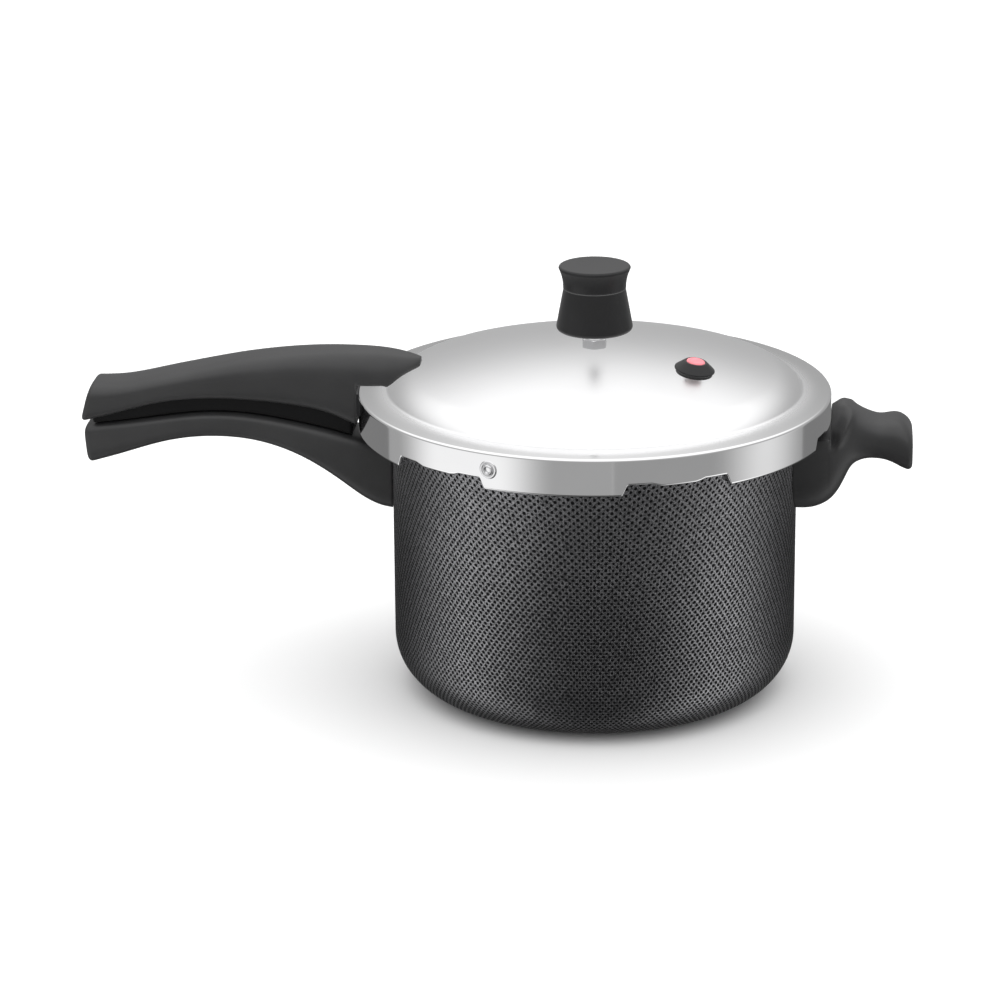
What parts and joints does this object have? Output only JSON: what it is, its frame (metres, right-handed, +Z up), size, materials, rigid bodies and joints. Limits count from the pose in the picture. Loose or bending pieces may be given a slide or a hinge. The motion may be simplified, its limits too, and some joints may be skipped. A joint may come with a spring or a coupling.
{
  "type": "stovetop pressure cooker",
  "caption": "Stovetop pressure cooker with a bayonet lid, paired long handles, a helper handle, a lift-off pressure weight and a safety plug.",
  "frame": {"origin": "centre of the pot's base on its underside", "axes": "+Z up along the pot's axis, +X towards the helper handle, the long handles point to -X"},
  "size_m": [0.4194, 0.2374, 0.2187],
  "materials": {
    "pot_coating": "satin enamel with a fine dotted pattern",
    "lid_aluminium": "polished",
    "grip_plastic": "satin moulded phenolic",
    "steel": "plated",
    "rivet_aluminium": "satin",
    "seal_rubber": "matte",
    "plug_silicone": "satin silicone",
    "core_brass": "turned"
  },
  "bodies": {
    "pot": {"pot_body": "pot_coating", "pot_handle": "grip_plastic", "pot_handle_bracket": "steel", "pot_handle_rivets": "rivet_aluminium", "pot_handle_screw": "steel", "pot_handle_washer": "steel", "helper_handle": "grip_plastic", "helper_bracket": "steel", "helper_rivets": "rivet_aluminium", "helper_screw": "steel", "helper_washer": "steel"},
    "lid": {"lid_shell": "lid_aluminium", "sealing_gasket": "seal_rubber", "lid_handle": "grip_plastic", "lid_handle_bracket": "steel", "lid_handle_rivets": "rivet_aluminium", "lid_handle_screw": "steel", "lid_handle_washer": "steel", "lid_stop_rivet": "rivet_aluminium", "vent_tube": "steel", "vent_washer": "seal_rubber", "vent_nut": "steel", "safety_valve_housing": "grip_plastic", "safety_valve_plug": "plug_silicone", "safety_valve_nut": "steel"},
    "needle": {"vent_needle": "steel"},
    "weight": {"weight_core": "core_brass", "weight_skirt": "grip_plastic", "weight_cap": "grip_plastic"}
  },
  "joints": [
    {"name": "lid_turn", "type": "hinge", "parent": "pot", "child": "lid", "pos_m": [0, 0, 0.156], "axis": [0, 0, 1], "range_deg": [-30, 0]},
    {"name": "weight_lift", "type": "slide", "parent": "lid", "child": "needle", "axis": [0, 0, 1], "range_m": [0, 0.03]},
    {"name": "weight_spin", "type": "hinge", "parent": "needle", "child": "weight", "pos_m": [0, 0, 0.2], "axis": [0, 0, 1], "continuous": true}
  ]
}
